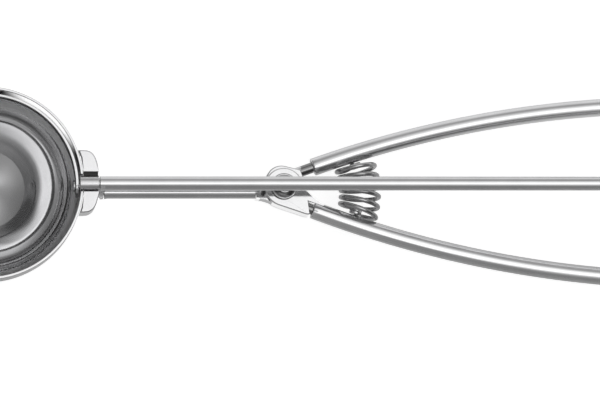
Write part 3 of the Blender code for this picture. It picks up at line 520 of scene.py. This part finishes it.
# Scraper's bearings: the drive shaft and its bushing on the gear's side, and a headed pin with its
# washer on the far side. All are turned from stainless bar and riveted in.
def drawn_out(name, profile, sides=48):
    """A round piece along Z: a ring is extruded and scaled through each (radius, height) in mm."""
    radius, height = profile[0]
    bpy.ops.object.select_all(action="DESELECT")
    bpy.ops.mesh.primitive_circle_add(vertices=sides, radius=radius * MM, location=(0, 0, height * MM))
    piece = bpy.context.object
    piece.name = name
    bpy.ops.object.mode_set(mode="EDIT")
    bpy.ops.mesh.select_all(action="SELECT")
    for (wide, low), (new, high) in zip(profile, profile[1:]):
        bpy.ops.mesh.extrude_region_move(TRANSFORM_OT_translate={"value": (0, 0, (high - low) * MM)})
        share = new / wide
        bpy.ops.transform.resize(value=(share, share, 1), center_override=(0, 0, high * MM))
    bpy.ops.mesh.select_all(action="SELECT")
    bpy.ops.mesh.remove_doubles(threshold=0.001 * MM)
    bpy.ops.mesh.select_all(action="SELECT")
    bpy.ops.mesh.fill_holes(sides=sides)
    bpy.ops.mesh.select_all(action="SELECT")
    bpy.ops.mesh.normals_make_consistent(inside=False)
    bpy.ops.object.mode_set(mode="OBJECT")
    return piece


def sleeve(name, outer, bore, low, high, sides=48):
    """A round piece with a bore, along Z, in mm."""
    return drawn_out(name, [(outer, low), (outer, high), (bore, high), (bore, low), (outer, low)], sides)


def laid_along_x(piece, place):
    """Turns a piece made along Z onto +X, and moves its zero to the place."""
    piece.matrix_world = Matrix.Translation(place) @ Matrix.Rotation(pi / 2, 4, "Y") @ piece.matrix_world
    return piece


turned_steel = steel("turned_steel", 0.62, 0.16, (4000, 300, 300), 0.03, 0.02)
shaft = drawn_out("shaft", [(1.8, 26.7), (1.8, 27.4), (0.9, 27.4), (0.9, 34.1)])
rounded(shaft, 0.2 * MM)
fitted(laid_along_x(shaft, bowl_centre), turned_steel, "scraper", "drive_shaft")
bushing = sleeve("bushing", 1.7, 1.0, 28.7, 29.5)
fitted(laid_along_x(bushing, bowl_centre), turned_steel, "frame", "shaft_bushing")
pin = drawn_out("pin", [(1.8, -31.3), (1.8, -30.6), (0.9, -30.6), (0.9, -27.4), (1.8, -27.4), (1.8, -26.7)])
rounded(pin, 0.25 * MM)
fitted(laid_along_x(pin, bowl_centre), turned_steel, "frame", "scraper_pin")
washer = sleeve("washer", 2.5, 1.2, -30.3, -29.8)
rounded(washer, 0.1 * MM, 2)
fitted(laid_along_x(washer, bowl_centre), turned_steel, "frame", "pin_washer")


# Gear housing: a shallow box pressed from stainless sheet and welded to the bowl's side. A channel
# across its top takes the rod's ferrule, and its underside is open.
def from_solid(node, name):
    """A copy of a CAD node's shape, with its triangles joined up into whole faces."""
    piece = nodes[node].copy()
    piece.data = piece.data.copy()
    piece.name = name
    piece.parent = None
    piece.matrix_world = Matrix()
    for key in list(piece.keys()):
        del piece[key]
    piece.hide_render = False
    piece.hide_viewport = False
    scene.collection.objects.link(piece)
    choose(piece)
    bpy.ops.object.mode_set(mode="EDIT")
    bpy.ops.mesh.select_all(action="SELECT")
    bpy.ops.mesh.remove_doubles(threshold=0.002 * MM)
    bpy.ops.mesh.select_all(action="SELECT")
    bpy.ops.mesh.dissolve_limited(angle_limit=radians(1))
    bpy.ops.object.mode_set(mode="OBJECT")
    return piece


def softened(piece, height, size, spared):
    """Rounds the sharp edges at a height, in mm, more than the rest, but for those in the spared box."""
    (low_x, low_y), (high_x, high_y) = spared
    choose(piece)
    bpy.ops.object.mode_set(mode="EDIT")
    pick(lambda co: False)
    bpy.ops.mesh.select_mode(type="EDGE")
    shape = bmesh.from_edit_mesh(piece.data)
    for edge in shape.edges:
        level = all(abs(vert.co.z - height * MM) < 0.01 * MM for vert in edge.verts)
        middle = (edge.verts[0].co + edge.verts[1].co) / 2 / MM
        kept = low_x < middle.x < high_x and low_y < middle.y < high_y
        edge.select = level and not kept and edge.calc_face_angle(0) > radians(40)
    bmesh.update_edit_mesh(piece.data)
    bpy.ops.mesh.bevel(offset=size, segments=4, affect="EDGES", clamp_overlap=False)
    bpy.ops.object.mode_set(mode="OBJECT")


def slot_shade(x, y, z):
    """The slot above the ferrule, on the channel's upper side, painted dark as the shade in it."""
    return between(z, 12, 18.4) * between(y, 2.3, 3.6) * between(x, -63.5, -57.2)


pressed = steel("pressed_steel", polished, 0.09, (500, 500, 500), 0.02, 0.03)
housing = from_solid("gear_housing", "housing")
softened(housing, 18.6, 0.45 * MM, ((-63, -4), (-57.5, 4.5)))
rounded(housing, 0.1 * MM, 2, 40)
# Painted shade: the slot's floor, which the steel would show bright, is painted nearly black
painted_light_and_finish(pressed, slot_shade, 0.03)
fitted(housing, pressed, "frame", "gear_housing")


# Pinion: a small steel wheel with nine cut teeth, pressed on the drive shaft inside the housing,
# where the sector's teeth turn it.
wheel = from_solid("pinion", "toothed_wheel")
rounded(wheel, 0.04 * MM, 1, 40)
cut_steel = steel("cut_steel", 0.6, 0.25, (900, 900, 900), 0.05, 0.03)
fitted(wheel, cut_steel, "scraper", "pinion")


# Centre rod: drawn stainless rod, with one end in a satin ferrule on the housing, where it is
# crimped, and a domed cap over the other. A short post stands it on the pivot's rivet.
satin = steel("satin_steel", 0.6, 0.24, (3000, 200, 200), 0.05, 0.02)
drawn = steel("drawn_steel", polished, 0.1, (60, 3500, 3500), 0.02, 0.02)
rod_axis = Vector((0, 0, rod_height))
ferrule = sleeve("ferrule", 2.4, 1.9, -63.1, -57.4, 64)
rounded(ferrule, 0.15 * MM)
fitted(laid_along_x(ferrule, rod_axis), satin, "frame", "rod_ferrule")
rod = drawn_out("long_rod", [(1.6, -62.9), (1.6, -57.1), (2.15, -57.1), (2.15, 118)], 64)
rounded(rod, 0.15 * MM)
laid_along_x(rod, rod_axis)
# The crimp's six small dents, in two rows beside the ferrule
half_dent = Vector((0, 0.2, 0)) * MM
for x in (-56.6, -56.15, -55.7):
    for y, z in ((-1.35, 18.7), (-1.9, 18.25)):
        dent = Vector((x, y, z)) * MM
        cut_by(rod, drill(0.15 * MM, dent - half_dent, dent + half_dent, 12))
fitted(rod, drawn, "frame", "centre_rod")
cap_radius = 3.15
dome = [(cap_radius * cos(a), 117.65 + cap_radius * sin(a)) for a in [radians(11.25 * i) for i in range(8)]]
cap = drawn_out("rod_cap", [(2.45, 118.3), (2.45, 115.3), (cap_radius, 115.3)] + dome + [(0.1, 120.8)], 64)
rounded(cap, 0.1 * MM, 2, 60)
fitted(laid_along_x(cap, rod_axis), drawn, "frame", "rod_end_cap")
post = drawn_out("post", [(2.1, 10.9), (2.1, 11.6), (1.7, 11.6), (1.7, 14.55)])
rounded(post, 0.15 * MM)
fitted(post, satin, "frame", "rod_post")


# Pivot: a rivet turned from bar, put through both brackets and headed over at the top, where a
# shallow dish is left. A spacer between the upper bracket's ears keeps them apart.
dish = [(3.9, 10.5), (3.7, 10.6), (3.5, 10.52), (3.3, 10.44), (2.6, 10.36), (1.6, 10.3), (0.1, 10.28)]
rivet = drawn_out("rivet", [(4.05, 0), (4.05, 1), (2.0, 1), (2.0, 9.6), (4.05, 9.6), (4.05, 10.2)] + dish, 96)
rounded(rivet, 0.15 * MM, 3, 40)
rivet_steel = steel("rivet_steel", polished, 0.09, lines=0.03, waves=0.02, rings=((0, 0, 0), (0, 0, 1)))


def head_edge_shade(x, y, z):
    """The edge of the rivet's upper head, painted dark as the shade in the gap round it."""
    return between(x * x + y * y, 3.86**2, 30) * between(z, 9.4, 10.7)


def dish_reflection(x, y, z):
    """The lower half of the dish in the rivet's upper head, as the camera sees it, where the rod's dark
    reflection is painted.
    """
    return between(x * x + y * y, -1, 3.3**2) * between(y, -4, -0.4) * between(z, 10, 11)


# Painted shade: a dark ring round the head's edge
painted_light_and_finish(rivet_steel, head_edge_shade, 0.12)
# Painted reflection: the rod's dark underside, mirrored in the dish
painted_light_and_finish(rivet_steel, dish_reflection, 0.2)
fitted(rivet, rivet_steel, "frame", "pivot_rivet")
spacer = sleeve("spacer", 3.2, 2.3, 3.9, 6.7)
rounded(spacer, 0.1 * MM)
fitted(spacer, turned_steel, "frame", "pivot_spacer")


# Handles: two bowed steel tubes, one the mirror image of the other, cut square at the bracket and
# closed by a pressed cap at the hand's end. A stud on the inner side holds the spring.
tube_radius = 2.75
tube_wall = 0.8
tube_start = (9.3, 6.6)
tube_slope = radians(20.2)
tube_bend = 340
tube_length = 117
tube_skew = radians(0.6)
tube_height = 5.3
stud_along = 12.8
stud_off = 3.05


def along_tube(side, along, off=0.0):
    """The place and slope of a point on a tube's centre line, or off it towards the rod, in mm."""
    slope = tube_slope - along / tube_bend
    x = tube_start[0] + tube_bend * (sin(tube_slope) - sin(slope)) + off * sin(slope)
    y = tube_start[1] + tube_bend * (cos(slope) - cos(tube_slope)) - off * cos(slope)
    place = Matrix.Rotation(-tube_skew, 4, "Z") @ Vector((x, side * y, tube_height))
    return place * MM, side * slope - tube_skew


def stood_on_tube(piece, side, along, off=0.0, aside=0.0):
    """Sets a piece made along Z on a tube, pointing along it or turned aside."""
    place, slope = along_tube(side, along, off)
    turn = Matrix.Rotation(slope + aside, 4, "Z") @ Matrix.Rotation(pi / 2, 4, "Y")
    piece.matrix_world = Matrix.Translation(place) @ turn @ piece.matrix_world
    return piece


for name, side, body in (("upper", 1, "upper_lever"), ("lower", -1, "lower_lever")):
    bpy.ops.object.select_all(action="DESELECT")
    bpy.ops.mesh.primitive_circle_add(vertices=64, radius=tube_radius * MM)
    tube = stood_on_tube(bpy.context.object, side, 0)
    tube.name = name + "_tube"
    bpy.ops.object.transform_apply(location=True, rotation=True, scale=True)
    bend_x = tube_start[0] + tube_bend * sin(tube_slope)
    bend_y = tube_start[1] - tube_bend * cos(tube_slope)
    heart = Matrix.Rotation(-tube_skew, 4, "Z") @ Vector((bend_x, side * bend_y, tube_height)) * MM
    bpy.ops.object.mode_set(mode="EDIT")
    bpy.ops.mesh.select_all(action="SELECT")
    bpy.ops.mesh.spin(steps=64, angle=side * tube_length / tube_bend, center=heart, axis=(0, 0, 1))
    bpy.ops.mesh.select_all(action="SELECT")
    bpy.ops.mesh.normals_make_consistent(inside=False)
    bpy.ops.object.mode_set(mode="OBJECT")
    modify(tube, "wall", "SOLIDIFY", thickness=tube_wall * MM, offset=-1, use_even_offset=True)
    rounded(tube, 0.39 * MM, 4, 60)
    grain_turn = -side * radians(10)
    drawn_tube = steel(name + "_tube_steel", 0.71, 0.14, (60, 3500, 3500), 0.02, 0.03, turn=grain_turn)
    fitted(tube, drawn_tube, body, name + "_handle")
    dome = [(tube_radius * cos(a), 0.3 + 2 * sin(a)) for a in [radians(12 * i) for i in range(1, 8)]]
    cap = drawn_out(name + "_cap", [(1.65, -5), (1.65, 0.3), (tube_radius, 0.3)] + dome + [(0.1, 2.3)])
    fitted(stood_on_tube(cap, side, tube_length), pressed, body, name + "_end_cap")
    peg = drawn_out(name + "_stud", [(1.9, 0), (1.9, 1.6)])
    rounded(peg, 0.3 * MM)
    stood_on_tube(peg, side, stud_along, stud_off, -side * pi / 2)
    fitted(peg, turned_steel, body, name + "_spring_peg")


# Brackets: each handle's bracket is folded from sheet into a channel whose ears turn on the rivet.
# The lower one also reaches out to the rack rod.
def upper_neck_shade(x, y, z):
    """Where the upper bracket meets its tube, painted dark as shade."""
    return between(x, 5.6, 9.4) * between(y, 3.9, 8.8)


def lower_neck_shade(x, y, z):
    """Where the lower bracket meets its tube, painted dark as shade."""
    return between(x, 7.55, 9.4) * between(y, -9.5, -3.9) * between(z, 3, 8.2)


def lower_web_highlight(x, y, z):
    """The outer face of the lower bracket's web, where a highlight on the fold is painted and made to glow.
    """
    outwards = x * -0.32 - y * 0.95
    return between(outwards, 5.6, 6.3) * between(z, 2, 8.4)


folded = steel("folded_steel", polished, 0.1, (900, 300, 900), 0.02, 0.03)
# Painted shade at the two necks, and a painted highlight that glows on the lower web's fold
painted_light_and_finish(folded, upper_neck_shade, 0.25)
painted_light_and_finish(folded, lower_neck_shade, 0.25)
painted_light_and_finish(folded, lower_web_highlight, 0.8, glow=0.4)
for name, body, top in (("upper", "upper_lever", 8.0), ("lower", "lower_lever", 9.3)):
    bracket = from_solid(name + "_bracket", name + "_fork")
    softened(bracket, top, 0.4 * MM, ((7.0, -7), (13, -0.5)))
    rounded(bracket, 0.1 * MM, 2, 40)
    fitted(bracket, folded, body, name + "_bracket")


# Rack rod: a thin steel tube from the lower bracket's foot to the sector, a toothed strip that is
# welded to its end and turns the pinion.
pull_rod = drawn_out(
    "pull_rod",
    [(2.25, -55.2), (2.05, -54.2), (2.05, -8.6), (1.4, -8.6), (1.4, -54.2), (1.65, -55.2), (2.25, -55.2)],
)
rounded(pull_rod, 0.12 * MM)
pull_axis = Vector((0, -1.2, tube_height)) * MM
fitted(laid_along_x(pull_rod, pull_axis), drawn, "lower_lever", "rack_rod")
rack = from_solid("gear_sector", "rack")
rounded(rack, 0.06 * MM, 2, 40)
fitted(rack, cut_steel, "lower_lever", "gear_sector")


# Spring: one spring steel wire wound into a coil that is bent round the pivot. An end turn lies
# beside each handle, and from its underside the wire's end turns up to the handle.
wire = 0.73
coil = 5.9
turns = 6
closed = 0.25
lean = 0.4
bend = sum(along_tube(side, stud_along)[0].xy.length for side in (1, -1)) / 2 / MM
ends = {}
for side in (1, -1):
    beside = [along_tube(side, stud_along + step, stud_off + wire)[0] for step in (-coil, coil)]
    ends[side] = min([atan2(place.y, place.x) for place in beside], key=abs)


def on_coil(turned):
    """A point of the wire's middle, after so many turns, in mm."""
    share = min(1, max(0, (turned - closed) / (turns - 2 * closed)))
    angle = ends[1] + (ends[-1] - ends[1]) * share
    reach = bend + lean * (2 * share - 1) - coil * sin(2 * pi * turned)
    return Vector((reach * cos(angle), reach * sin(angle), tube_height - coil * cos(2 * pi * turned)))


def wire_end(side, corner, onward):
    """The straight end, square to the tube, and its rounded corner."""
    along = stud_along
    # The place on the tube's centre line that is nearest to the corner
    for _ in range(4):
        place, slope = along_tube(side, along)
        along += (corner - place / MM) @ Vector((cos(slope), sin(slope), 0))
    axis = along_tube(side, along)[0] / MM
    outward = (corner - axis).normalized()
    end = axis + outward * stud_off
    straight = end + outward * 2 * wire
    points = [end, straight]
    for t in [i / 8 for i in range(1, 8)]:
        points.append(straight * (1 - t) ** 2 + corner * 2 * t * (1 - t) + onward * t * t)
    return points


# The wire's points, 36 to a turn. A corner takes up four of them.
steps = 36
corner_steps = 4
corner_turn = corner_steps / steps
route = wire_end(1, on_coil(0), on_coil(corner_turn))
route += [on_coil(corner_turn + i / steps) for i in range(steps * turns - 2 * corner_steps + 1)]
route += wire_end(-1, on_coil(turns), on_coil(turns - corner_turn))[::-1]
line = bpy.data.curves.new("coil", "CURVE")
line.dimensions = "3D"
line.bevel_depth = wire * MM
line.bevel_resolution = 4
line.use_fill_caps = True
path = line.splines.new("POLY")
path.points.add(len(route) - 1)
for point, place in zip(path.points, route):
    point.co = (*(place * MM), 1)
coiled = bpy.data.objects.new("coil", line)
scene.collection.objects.link(coiled)
choose(coiled)
bpy.ops.object.convert(target="MESH")
coiled = bpy.context.object
spring_steel = steel("wire_steel", 0.42, 0.14, (900, 900, 900), 0.04, 0.03)
fitted(coiled, spring_steel, "frame", "spring")
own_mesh(coiled)
